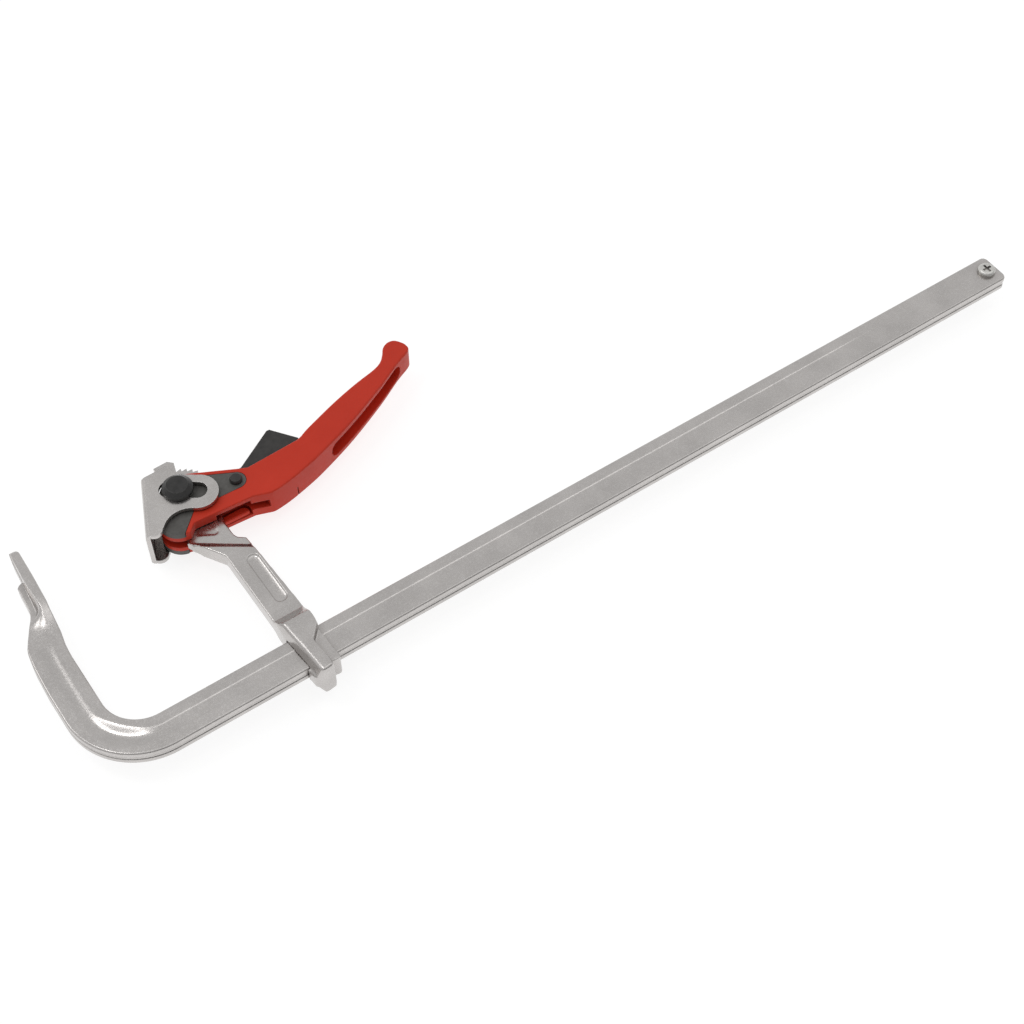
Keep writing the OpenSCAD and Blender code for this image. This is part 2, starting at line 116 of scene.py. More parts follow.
def mesh_object(name, bm, sharp_angle=SHARP_ANGLE):
    bmesh.ops.recalc_face_normals(bm, faces=bm.faces)
    mesh = bpy.data.meshes.new(name)
    bm.to_mesh(mesh)
    bm.free()
    finish_shading(mesh, sharp_angle)
    return new_object(name, mesh)


def finish_shading(mesh, sharp_angle=SHARP_ANGLE):
    mesh.shade_smooth()
    mesh.set_sharp_from_angle(angle=math.radians(sharp_angle))


def bake_modifiers(obj, sharp_angle=SHARP_ANGLE):
    """Replaces the object's mesh by its evaluated one and clears its modifiers."""
    graph = bpy.context.evaluated_depsgraph_get()
    graph.update()
    mesh = bpy.data.meshes.new_from_object(obj.evaluated_get(graph))
    obj.modifiers.clear()
    old = obj.data
    obj.data = mesh
    bpy.data.meshes.remove(old)
    finish_shading(mesh, sharp_angle)


def weighted_normals(obj):
    modifier = obj.modifiers.new("normals", "WEIGHTED_NORMAL")
    modifier.keep_sharp = True
    modifier.weight = FLAT_FACE_WEIGHT


def loft(bm, rings):
    """Skins a list of closed rings of points, closes both ends and returns the two end faces."""
    rows = [[bm.verts.new(p * MM) for p in ring] for ring in rings]
    count = len(rows[0])
    for a, b in zip(rows, rows[1:]):
        for i in range(count):
            j = (i + 1) % count
            bm.faces.new((a[i], a[j], b[j], b[i]))
    return [bm.faces.new(rows[0]), bm.faces.new(rows[-1])]


def prism(name, outline, z0, z1, origin=PIN):
    """Closed prism over an outline given about the origin."""
    bm = bmesh.new()
    loft(bm, [[Vector((p[0] + origin.x, p[1] + origin.y, z)) for p in outline] for z in (z0, z1)])
    return mesh_object(name, bm)


def combine(obj, tools, operation="DIFFERENCE"):
    """Takes the tools out of the object, joins them to it or cuts it down to them, and deletes them."""
    for tool in tools:
        modifier = obj.modifiers.new("combine", "BOOLEAN")
        modifier.operation = operation
        modifier.solver = "EXACT"
        modifier.object = tool
        bake_modifiers(obj)
        bpy.data.objects.remove(tool)


# Materials

BEVEL_SAMPLES = 6
CREVICE_SAMPLES = 8
EDGE_NONE = 0.995
EDGE_FULL = 0.85

# Places of the colour sockets of a Mix node
MIX_FIRST = 6
MIX_SECOND = 7
MIX_RESULT = 2


class Nodes:
    """Short calls for building one material's nodes."""

    def __init__(self, name):
        self.material = bpy.data.materials.new(name)
        self.material.use_nodes = True
        self.tree = self.material.node_tree
        self.tree.nodes.clear()
        self.out = self.tree.nodes.new("ShaderNodeOutputMaterial")
        self.bsdf = self.tree.nodes.new("ShaderNodeBsdfPrincipled")
        self.tree.links.new(self.bsdf.outputs[0], self.out.inputs[0])
        self.coord = self.tree.nodes.new("ShaderNodeTexCoord").outputs["Object"]

    def put(self, socket, value):
        if isinstance(value, bpy.types.NodeSocket):
            self.tree.links.new(value, socket)
        else:
            socket.default_value = value

    def noise(self, scale, detail, rough):
        node = self.tree.nodes.new("ShaderNodeTexNoise")
        self.put(node.inputs["Vector"], self.coord)
        node.inputs["Scale"].default_value = scale
        node.inputs["Detail"].default_value = detail
        node.inputs["Roughness"].default_value = rough
        return node.outputs["Fac"]

    def cells(self, scale):
        node = self.tree.nodes.new("ShaderNodeTexVoronoi")
        self.put(node.inputs["Vector"], self.coord)
        node.inputs["Scale"].default_value = scale
        split = self.tree.nodes.new("ShaderNodeSeparateColor")
        self.put(split.inputs[0], node.outputs["Color"])
        return split.outputs[0]

    def math(self, operation, a, b, clamp=False):
        node = self.tree.nodes.new("ShaderNodeMath")
        node.operation = operation
        node.use_clamp = clamp
        self.put(node.inputs[0], a)
        self.put(node.inputs[1], b)
        return node.outputs[0]

    def span(self, value, low, high, out_low, out_high):
        node = self.tree.nodes.new("ShaderNodeMapRange")
        self.put(node.inputs["Value"], value)
        node.inputs["From Min"].default_value = low
        node.inputs["From Max"].default_value = high
        node.inputs["To Min"].default_value = out_low
        node.inputs["To Max"].default_value = out_high
        return node.outputs["Result"]

    def mix(self, factor, a, b):
        node = self.tree.nodes.new("ShaderNodeMix")
        node.data_type = "RGBA"
        self.put(node.inputs["Factor"], factor)
        self.put(node.inputs[MIX_FIRST], a)
        self.put(node.inputs[MIX_SECOND], b)
        return node.outputs[MIX_RESULT]

    def bump(self, height, strength, distance, normal):
        node = self.tree.nodes.new("ShaderNodeBump")
        node.inputs["Strength"].default_value = strength
        node.inputs["Distance"].default_value = distance
        self.put(node.inputs["Height"], height)
        self.put(node.inputs["Normal"], normal)
        return node.outputs[0]

    def rounded(self, radius):
        node = self.tree.nodes.new("ShaderNodeBevel")
        node.samples = BEVEL_SAMPLES
        node.inputs["Radius"].default_value = radius
        return node.outputs[0]

    def edge_mask(self, rounded_normal):
        """About 1 along sharp edges and 0 on open faces."""
        geometry = self.tree.nodes.new("ShaderNodeNewGeometry")
        dot = self.tree.nodes.new("ShaderNodeVectorMath")
        dot.operation = "DOT_PRODUCT"
        self.put(dot.inputs[0], rounded_normal)
        self.put(dot.inputs[1], geometry.outputs["Normal"])
        return self.span(dot.outputs["Value"], low=EDGE_NONE, high=EDGE_FULL, out_low=0.0, out_high=1.0)

    def crevice(self, distance):
        """1 in the open, towards 0 in narrow gaps."""
        node = self.tree.nodes.new("ShaderNodeAmbientOcclusion")
        node.samples = CREVICE_SAMPLES
        node.inputs["Distance"].default_value = distance
        return node.outputs["AO"]


CLOUD_SHADES = (0.86, 1.10)
# Near-white tint of the painted glints
PAINTED_GLINT_TONE = (0.93, 0.93, 0.92, 1)
# Tone and share of the edges lightened as wear and painted highlight
WORN_AND_HIGHLIT_EDGE_TONE = (0.95, 0.95, 0.94, 1)
WORN_AND_HIGHLIT_SHARE = 0.5
# Tone of the painted shade in crevices
CREVICE_SHADE_TONE = (0.16, 0.14, 0.13, 1)
SPARKLE_ROUGH = 0.35
ROUGH_BELOW = 0.08
ROUGH_ABOVE = 0.10
EDGE_POLISH = 0.08


def plated_steel(name, tone, rough, grain_depth, edge_radius, forged=0.0):
    """Bright plated steel: fine grain with painted glints, clouding, edges lightened as wear and painted
    highlight, painted shade in crevices, dents if forged.
    """
    m = Nodes(name)
    rounded = m.rounded(edge_radius)
    edges = m.edge_mask(rounded)
    sparkle = m.cells(scale=1500)
    grain = m.noise(scale=850, detail=1, rough=0.4)
    clouds = m.noise(scale=38, detail=4, rough=0.6)
    dark, light = [[min(1.0, c * shade) for c in tone] + [1] for shade in CLOUD_SHADES]
    colour = m.mix(m.span(clouds, low=0.35, high=0.65, out_low=0.25, out_high=0.75), dark, light)
    # Painted glints: random cells tinted towards near-white, standing for sparkles of light on the grain
    glint = m.span(sparkle, low=0.55, high=1.0, out_low=0.0, out_high=0.12)
    colour = m.mix(glint, colour, PAINTED_GLINT_TONE)
    # Edges lightened in the colour, partly as wear and partly as a painted highlight
    colour = m.mix(m.math("MULTIPLY", edges, WORN_AND_HIGHLIT_SHARE), colour, WORN_AND_HIGHLIT_EDGE_TONE)
    # Painted shade: the colour darkens in narrow gaps and corners, where shade falls
    shade = m.span(m.crevice(distance=0.007), low=0.25, high=0.9, out_low=0.45, out_high=1.0)
    colour = m.mix(shade, CREVICE_SHADE_TONE, colour)
    m.put(m.bsdf.inputs["Base Color"], colour)
    m.put(m.bsdf.inputs["Metallic"], 1.0)
    speckle = m.math("ADD", grain, m.math("MULTIPLY", sparkle, SPARKLE_ROUGH))
    roughness = m.span(speckle, low=0.35, high=1.0, out_low=rough - ROUGH_BELOW, out_high=rough + ROUGH_ABOVE)
    polish = m.math("MULTIPLY", edges, EDGE_POLISH)
    m.put(m.bsdf.inputs["Roughness"], m.math("SUBTRACT", roughness, polish, clamp=True))
    normal = m.bump(grain, strength=0.6, distance=grain_depth, normal=rounded)
    if forged:
        dents = m.noise(scale=150, detail=2, rough=0.5)
        normal = m.bump(dents, strength=0.6, distance=forged, normal=normal)
    m.put(m.bsdf.inputs["Normal"], normal)
    return m.material


RED_DEEP = (0.540, 0.0325, 0.0138, 1)
RED_BRIGHT = (0.612, 0.041, 0.0186, 1)
# Tone and share of the edges lightened as thin paint and painted highlight
RED_EDGE_THIN_PAINT_AND_HIGHLIGHT = (0.62, 0.12, 0.09, 1)
RED_EDGE_THIN_PAINT_AND_HIGHLIGHT_SHARE = 0.22
RED_CHIP = (0.22, 0.03, 0.025, 1)
# Tone of the painted shade in crevices
RED_CREVICE_SHADE = (0.09, 0.008, 0.006, 1)
RED_SPECULAR = 0.20
RED_EDGE_RADIUS = 0.0009


def red_paint(name):
    """Semi-gloss paint over a casting: orange peel, faint clouding, thin paint on edges, edges lightened as
    thin paint and painted highlight, painted shade in crevices.
    """
    m = Nodes(name)
    rounded = m.rounded(RED_EDGE_RADIUS)
    edges = m.edge_mask(rounded)
    peel = m.noise(scale=420, detail=3, rough=0.5)
    clouds = m.noise(scale=22, detail=4, rough=0.6)
    worn = m.math("MULTIPLY", edges, m.noise(scale=260, detail=4, rough=0.7))
    chips = m.span(worn, low=0.42, high=0.58, out_low=0.0, out_high=0.55)
    tint = m.span(clouds, low=0.3, high=0.7, out_low=0.0, out_high=1.0)
    colour = m.mix(tint, RED_DEEP, RED_BRIGHT)
    # Edges lightened in the colour, partly as thin paint and partly as a painted highlight
    colour = m.mix(m.math("MULTIPLY", edges, RED_EDGE_THIN_PAINT_AND_HIGHLIGHT_SHARE), colour, RED_EDGE_THIN_PAINT_AND_HIGHLIGHT)
    colour = m.mix(chips, colour, RED_CHIP)
    # Painted shade: the colour darkens in narrow gaps and hollows, where shade falls
    shade = m.span(m.crevice(distance=0.010), low=0.0, high=0.6, out_low=0.22, out_high=1.0)
    colour = m.mix(shade, RED_CREVICE_SHADE, colour)
    m.put(m.bsdf.inputs["Base Color"], colour)
    m.put(m.bsdf.inputs["Roughness"], m.span(peel, low=0.3, high=0.7, out_low=0.30, out_high=0.44))
    m.put(m.bsdf.inputs["Specular IOR Level"], RED_SPECULAR)
    texture = m.math("ADD", peel, m.noise(scale=1400, detail=2, rough=0.5))
    m.put(m.bsdf.inputs["Normal"], m.bump(texture, strength=0.25, distance=0.00025, normal=rounded))
    return m.material


DARK_EDGE_RADIUS = 0.0006
# Share of the edges lightened as polish and painted highlight
DARK_EDGE_POLISH_AND_HIGHLIGHT_SHARE = 0.6
# Tone of the painted shade in crevices
DARK_CREVICE_SHADE = (0.012, 0.012, 0.012, 1)


def dark_metal(name, low, high, edge_polish_and_highlight_tone, rough, metallic):
    """Phosphated or blackened steel: mottled tone, matt grain, edges lightened as polish and painted
    highlight, painted shade in crevices.
    """
    m = Nodes(name)
    rounded = m.rounded(DARK_EDGE_RADIUS)
    edges = m.edge_mask(rounded)
    mottle = m.noise(scale=240, detail=5, rough=0.65)
    grain = m.noise(scale=1500, detail=3, rough=0.7)
    tint = m.span(mottle, low=0.35, high=0.65, out_low=0.0, out_high=1.0)
    colour = m.mix(tint, low + (1,), high + (1,))
    # Edges lightened in the colour, partly as polish and partly as a painted highlight
    colour = m.mix(m.math("MULTIPLY", edges, DARK_EDGE_POLISH_AND_HIGHLIGHT_SHARE), colour, edge_polish_and_highlight_tone + (1,))
    # Painted shade: the colour darkens in narrow gaps, where shade falls
    shade = m.span(m.crevice(distance=0.004), low=0.0, high=0.5, out_low=0.3, out_high=1.0)
    colour = m.mix(shade, DARK_CREVICE_SHADE, colour)
    m.put(m.bsdf.inputs["Base Color"], colour)
    m.put(m.bsdf.inputs["Metallic"], metallic)
    speckle = m.math("ADD", mottle, grain)
    roughness = m.span(speckle, low=0.7, high=1.3, out_low=rough - ROUGH_BELOW, out_high=rough + ROUGH_ABOVE)
    m.put(m.bsdf.inputs["Roughness"], roughness)
    m.put(m.bsdf.inputs["Normal"], m.bump(grain, strength=0.35, distance=0.00018, normal=rounded))
    return m.material


STEEL_TONE = (0.546, 0.523, 0.508)
ZINC_TONE = (0.70, 0.69, 0.66)
STEEL = plated_steel("bright_steel", STEEL_TONE, rough=0.24, grain_depth=0.000024, edge_radius=0.0004)
FORGED = plated_steel("forged_steel", STEEL_TONE, rough=0.24, grain_depth=0.000026, edge_radius=0.0004,
                      forged=0.00006)
SHEET = plated_steel("sheet_steel", STEEL_TONE, rough=0.29, grain_depth=0.000024, edge_radius=0.0007)
ZINC = plated_steel("zinc_screw", ZINC_TONE, rough=0.30, grain_depth=0.00008, edge_radius=0.0003)
RED = red_paint("red_paint")
SLATE = dark_metal("slate_plate", low=(0.086, 0.083, 0.077), high=(0.126, 0.122, 0.115),
                   edge_polish_and_highlight_tone=(0.20, 0.195, 0.185), rough=0.52, metallic=0.35)
PAWL = dark_metal("pawl_black", low=(0.024, 0.023, 0.022), high=(0.040, 0.038, 0.036),
                  edge_polish_and_highlight_tone=(0.11, 0.11, 0.105), rough=0.46, metallic=0.15)
BLACK = dark_metal("pin_black", low=(0.025, 0.0245, 0.024), high=(0.042, 0.041, 0.040),
                   edge_polish_and_highlight_tone=(0.13, 0.13, 0.127), rough=0.36, metallic=0.30)
NODE_MATERIALS = {
    "stop_screw": ZINC,
    "pressure_shoe": SHEET,
    "cam_plate_upper": SLATE,
    "cam_plate_lower": SLATE,
    "pawl": PAWL,
    "pawl_rivet": BLACK,
    "pawl_spring": ZINC,
    "pivot_pin": BLACK,
    "pivot_ring": BLACK,
}


def dress(obj, material):
    obj.data.materials.clear()
    obj.data.materials.append(material)


# Rail: the bar's section with its grooves

RAIL_W = 23.5
RAIL_T = 10.4
CORNER_R = 1.3
GROOVE_HALF = 4.5
GROOVE_DEPTH = 0.26
GROOVE_DISH = 0.10
RAIL_WALL = 1.2
ARM_WALL = 4.0
BEND_GROOVE_HALF = 7.6
BEND_DISH = 1.75
BOWL_FLATTENS = 0.8
EDGE_HALF = 1.7
EDGE_DEPTH = 0.65
EDGE_WALL = 1.0

# Points across a face: offsets from the groove's rim, then shares of the innermost one's place
WIDE_STEPS = (0.5, 0.1, -0.25, -0.55, -0.85, -1.25, -2.0)
NARROW_STEPS = (0.2, -0.2, -0.5, -0.8, -1.1)
INNER_STEPS = (0.75, 0.5, 0.25)
WIDE = 2 * (len(WIDE_STEPS) + len(INNER_STEPS)) + 3
NARROW = 2 * (len(NARROW_STEPS) + len(INNER_STEPS)) + 3
ROUND = 3


def quarter_round(centre, r, start):
    """Inner points of a quarter circle from a start angle on."""
    return [tuple(p) for p in arc(centre, r, start, start + 90, ROUND + 1)[1:-1]]


def face_run(half, groove_half, depth, bowl, wall, steps):
    """Points across one face with a groove: a flat floor sunk by depth and a bowl on top of it."""
    side = [half] + [groove_half + s for s in steps]
    side += [side[-1] * f for f in INNER_STEPS]
    run = side + [0.0] + [-u for u in reversed(side)]

    def sink(u):
        bowled = math.cos(0.5 * math.pi * min(1.0, u / groove_half)) ** 2
        return depth * ease((groove_half - u) / wall) + bowl * bowled

    return [(u, -sink(abs(u))) for u in run]


def bar_section(groove, bowl=0.0, wall=RAIL_WALL):
    """Closed bar section as (width, thickness) points, inner narrow face first."""
    w, t, c = RAIL_W / 2, RAIL_T / 2, CORNER_R
    depth = GROOVE_DEPTH * groove * (1 - BOWL_FLATTENS * bowl)
    dish = groove * lerp(GROOVE_DISH, BEND_DISH, bowl)
    half = lerp(GROOVE_HALF, BEND_GROOVE_HALF, bowl)
    edge = face_run(t - c, EDGE_HALF, EDGE_DEPTH, 0, EDGE_WALL, NARROW_STEPS)
    wide = face_run(w - c, half, depth, dish, wall, WIDE_STEPS)
    pts = []
    for side in (1, -1):
        turn = 90 - 90 * side
        pts += [(side * (w + d), -side * u) for u, d in edge]
        pts += quarter_round((side * (w - c), side * (t - c)), c, turn)
        pts += [(side * u, side * (t + d)) for u, d in wide]
        pts += quarter_round((-side * (w - c), side * (t - c)), c, turn + 90)
    return pts


# Rail: the forged jaw, as widths and depths along its height

LEAN = math.tan(math.radians(3.0))
PAD_TOP = 31.0
PAD_HALF = 10.9
PAD_WIDEST = 5.0
PAD_SPREAD = (-37.0, -11.0)
PAD_TAPER = [(PAD_WIDEST, PAD_HALF), (28.0, 6.0), (29.8, 5.2), (PAD_TOP, 4.2)]
PAD_THICK = [(-30, 9.4), (-19, 7.9), (-7, 6.9), (6, 6.7), (24, 6.3), (PAD_TOP, 5.4)]
TOP_ROUND = [(26.5, 0), (28.3, 0.3), (29.6, 0.9), (30.5, 2.0), (PAD_TOP, 2.6)]
FRONT = [(-56, -5.2), (-47, -4.5), (-38, -2.8), (-30, -2.1), (-22, -1.5), (-17, -0.9)]
BACK = [(-72, -28.7), (-54, -27.8), (-46, -26.8), (-41, -25.8), (-38.5, -24.9), (-25, -17.1),
        (-20.5, -14.3), (-17.5, -12.9), (-13.5, -12.1), (4.2, -11.0), (5.6, -9.6), (6.7, -7.2)]
PAD_FOOT = FRONT[-1][0]
RIB_TOP = BACK[-1][0]
RIB_HALF = 4.8
RIB_NARROWS = (-40.0, -20.0)
RIB_LEAST = 0.4
RIB_INSET = 0.1
RIB_EDGE_R = 0.54
JAW_EDGE_R = 0.9
STEP_SPREAD = (11.0, 0.5)
STEP_CLOSES = (-30.0, -17.0)
STEP_ROOM = 0.2
ROOT_REACH = [(-34, 6.5), (-4, 0.7)]
CREST_PAST = 0.05
CREST_ROOM = 0.5
PAD_RUN = 5
STEP_RUN = 11


def jaw_section(y):
    """Closed section of the jaw at one height: pad in front, rib behind, a step between them."""
    front = y * LEAN if y > PAD_FOOT else ramp(y, FRONT)
    rear = front - ramp(y, PAD_THICK)
    front -= ramp(y, TOP_ROUND)
    back = ramp(y, BACK) if y < RIB_TOP else rear - RIB_LEAST
    back = min(back, rear - RIB_LEAST)
    if y < PAD_WIDEST:
        half = lerp(RAIL_T / 2, PAD_HALF, fade(y, *PAD_SPREAD))
    else:
        half = ramp(y, PAD_TAPER)
    rib = min(lerp(RAIL_T / 2, RIB_HALF, fade(y, *RIB_NARROWS)), half - RIB_INSET)
    spread = min(lerp(*STEP_SPREAD, fade(y, *STEP_CLOSES)), rear - back - STEP_ROOM)
    reach = ramp(y, ROOT_REACH)
    c = JAW_EDGE_R
    r = min(RIB_EDGE_R, 0.5 * (rear - spread - back))

    def height(x):
        return lerp(rib, half, ease((x - rear + spread) / (spread + reach)))

    crest = min(rear + reach + CREST_PAST, front - c - CREST_ROOM)
    rest = WIDE - PAD_RUN - STEP_RUN
    xs = [lerp(front - c, crest, k / (PAD_RUN - 1)) for k in range(PAD_RUN)]
    xs += [lerp(crest, rear - spread, (k + 1) / STEP_RUN) for k in range(STEP_RUN)]
    xs += [lerp(rear - spread, back + r, (k + 1) / rest) for k in range(rest)]
    flank = [(x, height(x)) for x in xs]
    foot = height(back + r)
    for k in range(ROUND):
        a = 0.5 * math.pi * (k + 1) / (ROUND + 1)
        flank.append((back + r * (1 - math.sin(a)), foot - r * (1 - math.cos(a))))
    across = [1 - 2 * k / (NARROW - 1) for k in range(NARROW)]
    pts = [(front, -(half - c) * share) for share in across]
    pts += quarter_round((front - c, half - c), c, 0)
    pts += flank
    pts += [(back, (foot - r) * share) for share in across]
    pts += [(x, -z) for x, z in reversed(flank)]
    pts += quarter_round((front - c, c - half), c, -90)
    return pts


# Rail: rings from the free end round the bend to the jaw's top

THROAT = 120.0
RAIL_END = 658.0
END_ROUND = 3.0
END_STEPS = 4
PLAIN_X = 640.0
GROOVE_END = 582.0
GROOVE_RUNOUT = [(0, 0.0), (14, 0.08), (30, 0.3), (46, 0.7), (64, 1.0)]
GROOVED_X = (480.0, 400.0, 300.0, 200.0, 110.0, 40.0)
FIXED_IN = -5.2
BEND_R = 24.0
BEND_STEPS = 28
BOWL_GROWS = (1 / 22, 1 / 2)
BOWL_ENDS = (7 / 12, 1)
ARM_BOWL = 0.06
ARM_Y = (-84.0, -72.0)
BLEND = (-50.0, -34.0)
JAW_Y = (-66, -62, -58, -54, -50, -47, -44, -42.4, -41, -39.8, -38.5, -36.5, -34, -31.5, -29, -27, -25,
         -23, -21, -19.5, -18, -16.5, -15, -13, -10, -7, -3, 1, 3, 4.2, 4.9, 5.6, 6.2, 6.7, 7.2, 8.5,
         11, 15, 19, 23, 26.5, 28.3, 29.6, 30.5)
CAP_NARROWS = 0.14
CAP_THINS = 0.16
RAIL_MID = -THROAT - RAIL_W / 2
ARM_MID = FIXED_IN - RAIL_W / 2
BEND_CENTRE = Vector((FIXED_IN + BEND_R, -THROAT + BEND_R))


def bend_bowl(t):
    """How far the groove is bowled out along the bend: none at its start, most in its middle."""
    return fade(t, *BOWL_GROWS) - (1 - ARM_BOWL) * fade(t, *BOWL_ENDS)


def straight_rings():
    rings = []
    for k in range(END_STEPS + 1):
        a = math.radians(90 * k / END_STEPS)
        x = RAIL_END - END_ROUND * (1 - math.cos(a))
        scale = 1 - END_ROUND * (1 - math.sin(a)) / (RAIL_W / 2)
        rings.append([Vector((x, RAIL_MID + u * scale, v)) for u, v in bar_section(0)])
    places = [(PLAIN_X, 0.0)]
    places += [(GROOVE_END - run, groove) for run, groove in GROOVE_RUNOUT]
    places += [(x, 1.0) for x in GROOVED_X]
    for x, groove in places:
        rings.append([Vector((x, RAIL_MID + u, v)) for u, v in bar_section(groove)])
    return rings


def bend_rings():
    rings = []
    for k in range(BEND_STEPS + 1):
        t = k / BEND_STEPS
        out = polar(1, 270 - 90 * t)
        ring = []
        for u, v in bar_section(1, bend_bowl(t), lerp(RAIL_WALL, ARM_WALL, t)):
            p = BEND_CENTRE + out * (BEND_R + RAIL_W / 2 - u)
            ring.append(Vector((p.x, p.y, v)))
        rings.append(ring)
    return rings


def jaw_rings():
    """Rings of the fixed arm, passing from the bar's section to the jaw's and closing at the top."""
    arm = bar_section(1, ARM_BOWL, ARM_WALL)
    rings = [[Vector((ARM_MID + u, y, v)) for u, v in arm] for y in ARM_Y]
    for y in JAW_Y:
        k = fade(y, *BLEND)
        ring = []
        for (u, v), (x, z) in zip(arm, jaw_section(y)):
            arm_x = lerp(ramp(y, BACK), ramp(y, FRONT), (u + RAIL_W / 2) / RAIL_W)
            ring.append(Vector((lerp(arm_x, x, k), y, lerp(v, z, k))))
        rings.append(ring)
    top = rings[-1]
    centre = sum(top, Vector()) / len(top)
    rings.append([Vector((lerp(p.x, centre.x, CAP_NARROWS), PAD_TOP, lerp(p.z, 0, CAP_THINS))) for p in top])
    return rings


def make_rail():
    bm = bmesh.new()
    loft(bm, straight_rings() + bend_rings() + jaw_rings())
    obj = mesh_object("rail_bar", bm, RAIL_SHARP_ANGLE)
    weighted_normals(obj)
    dress(obj, STEEL)
    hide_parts("rail")
    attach(obj, "rail_body")


# Sliding arm: the solid's forged form with softened edges

ARM_T = 11.0
ARM_VOXEL = 0.5
SMOOTH_FACTOR = 0.5
SMOOTH_ROUNDS = 110
ARM_CUT_HALF = 20.0

# Cut at the flange's end and the zone of the teeth, both about the pin
FLANGE_CUT = [(15.3, -175.0), (40.0, -175.0), (40.0, -158.4), (15.3, -157.6)]
TEETH_ZONE = [(-60.0, 1.3), (60.0, 1.3), (60.0, 60.0), (-60.0, 60.0)]

# The oblong recess, from the frame's origin
RECESS_X = 116.7
RECESS_R = 4.3
RECESS_LOW = -90.0
RECESS_HIGH = -57.7
RECESS_WALL = 0.6
RECESS_BOWL = 0.85
PLUG_OVERLAP = 0.2
PLUG_STEPS = 24

# How soft the arm's edges are in each zone, from 0 to 1, and where the zones lie;
# a pair is the depth below y = 0 where a zone starts and where it is full
ARM_SOFT = 0.20
BORE_SOFT = 0.02
BORE_REACH_Y = 1.2
BORE_REACH_Z = 1.4
RIM_SOFT = 0.04
RIM_REACH = 1.0
RIM_Z = 6.0
BRACKET_SOFT = 0.30
BRACKET_FROM = (98.0, 108.0)
FLANGE_SOFT = 0.10
FLANGE_X = 115.0
FLANGE_Z = 9.3
BODY_END_SOFT = 0.80
BODY_END_FROM = (143.0, 149.0)
FLANK_SOFT = 1.0
FLANK_X = 109.0
FLANK_FROM = (108.0, 116.0)


def beyond_recess(p):
    """Distance from the oblong recess's rim, below 0 inside it."""
    nearest = Vector((RECESS_X, min(max(p.y, RECESS_LOW), RECESS_HIGH)))
    return (Vector((p.x, p.y)) - nearest).length - RECESS_R


def recess_plug():
    """Solid that fills the recess up to a low wall under each face."""
    r = RECESS_R + PLUG_OVERLAP
    outline = arc((RECESS_X, RECESS_HIGH), r, 0, 180, PLUG_STEPS)
    outline += arc((RECESS_X, RECESS_LOW), r, 180, 360, PLUG_STEPS)
    floor_z = ARM_T / 2 - RECESS_WALL
    return prism("recess_plug", outline, -floor_z, floor_z, Vector((0, 0)))


def scoop_recess(mesh):
    """Hollows the recess's two flat floors into rounded troughs."""
    for v in mesh.vertices:
        p = v.co / MM
        inside = min(1.0, -beyond_recess(p) / RECESS_R)
        if inside > 0 and abs(p.z) > ARM_T / 2 - RECESS_WALL - ARM_VOXEL:
            sunk = RECESS_BOWL * math.sin(0.5 * math.pi * inside)
            v.co.z -= math.copysign(sunk * MM, p.z)


def arm_softness(p):
    """How far an edge at this place of the arm is rounded off, from 0 to 1."""
    in_bore = -THROAT - RAIL_W - BORE_REACH_Y < p.y < -THROAT + BORE_REACH_Y
    if in_bore and abs(p.z) < RAIL_T / 2 + BORE_REACH_Z:
        return BORE_SOFT
    if beyond_recess(p) < RIM_REACH and abs(p.z) < RIM_Z:
        return RIM_SOFT
    if p.y < -THROAT and abs(p.z) < FLANGE_Z and p.x > FLANGE_X:
        return FLANGE_SOFT
    soft = lerp(ARM_SOFT, BRACKET_SOFT, fade(-p.y, *BRACKET_FROM))
    if p.z > FLANGE_Z:
        soft = lerp(soft, BODY_END_SOFT, fade(-p.y, *BODY_END_FROM))
    if p.x < FLANK_X and p.z > RAIL_T / 2:
        soft = lerp(soft, FLANK_SOFT, fade(-p.y, *FLANK_FROM))
    return soft


def soften_edges(obj):
    """Rebuilds the arm as an even mesh and smooths each zone by its softness."""
    remesh = obj.modifiers.new("remesh", "REMESH")
    remesh.mode = "VOXEL"
    remesh.voxel_size = ARM_VOXEL * MM
    bake_modifiers(obj)
    scoop_recess(obj.data)
    soft = obj.vertex_groups.new(name="soft")
    for v in obj.data.vertices:
        soft.add([v.index], arm_softness(v.co / MM), "REPLACE")
    smooth = obj.modifiers.new("smooth", "SMOOTH")
    smooth.factor = SMOOTH_FACTOR
    smooth.iterations = SMOOTH_ROUNDS
    smooth.vertex_group = "soft"
    bake_modifiers(obj, FORGED_SHARP_ANGLE)


def keep_teeth(obj):
    """Puts the solid's own sharp teeth in the place of the softened ones."""
    combine(obj, [prism("softened_teeth", TEETH_ZONE, -ARM_CUT_HALF, ARM_CUT_HALF)])
    teeth = new_object("teeth", nodes["sliding_arm"].data.copy())
    teeth.data.attributes.remove(teeth.data.attributes["custom_normal"])
    combine(teeth, [prism("teeth_zone", TEETH_ZONE, -ARM_CUT_HALF, ARM_CUT_HALF)], "INTERSECT")
    combine(obj, [teeth], "UNION")
    finish_shading(obj.data, FORGED_SHARP_ANGLE)


def make_arm():
    obj = new_object("arm_forging", nodes["sliding_arm"].data.copy())
    combine(obj, [prism("flange_end", FLANGE_CUT, -ARM_CUT_HALF, ARM_CUT_HALF)])
    combine(obj, [recess_plug()], "UNION")
    soften_edges(obj)
    keep_teeth(obj)
    dress(obj, FORGED)
    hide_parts("sliding_arm")
    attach(obj, "arm_body")


# Lever: rounded grip, cut for the tongue, plates, mouth and hollow; its outlines are about the pin

